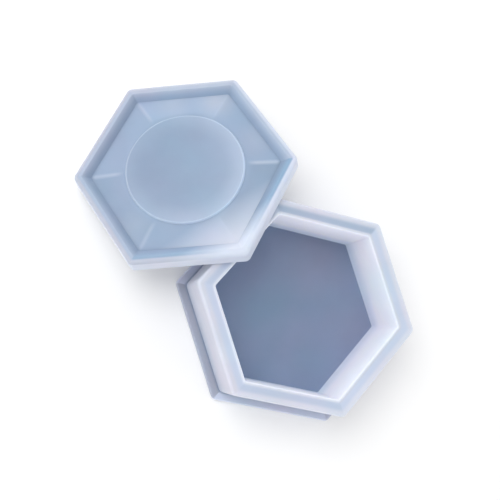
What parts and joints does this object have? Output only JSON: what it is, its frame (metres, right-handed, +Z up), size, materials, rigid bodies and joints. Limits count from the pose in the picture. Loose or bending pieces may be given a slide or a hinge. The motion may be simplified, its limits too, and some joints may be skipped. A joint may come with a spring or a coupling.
{
  "type": "resin casting mould",
  "caption": "Two-piece hexagonal box mould for resin casting: a deep hexagonal cup with a foot flange, and a shallow lid tray with a raised disc leaning on its rim.",
  "frame": {"origin": "centre of the box mould's flat underside, on the table", "axes": "+Z up out of the box mould's cavity; +X towards one corner of the box mould"},
  "size_m": [0.181, 0.1563, 0.0461],
  "materials": {
    "silicone": "satin, milky translucent"
  },
  "bodies": {
    "box": {"box_mould": "silicone"},
    "lid": {"lid_mould": "silicone"}
  },
  "joints": [
    {"name": "lid_lift", "type": "slide", "parent": "box", "child": "lid", "axis": [0, 0, 1], "range_m": [0, 0.06]}
  ]
}
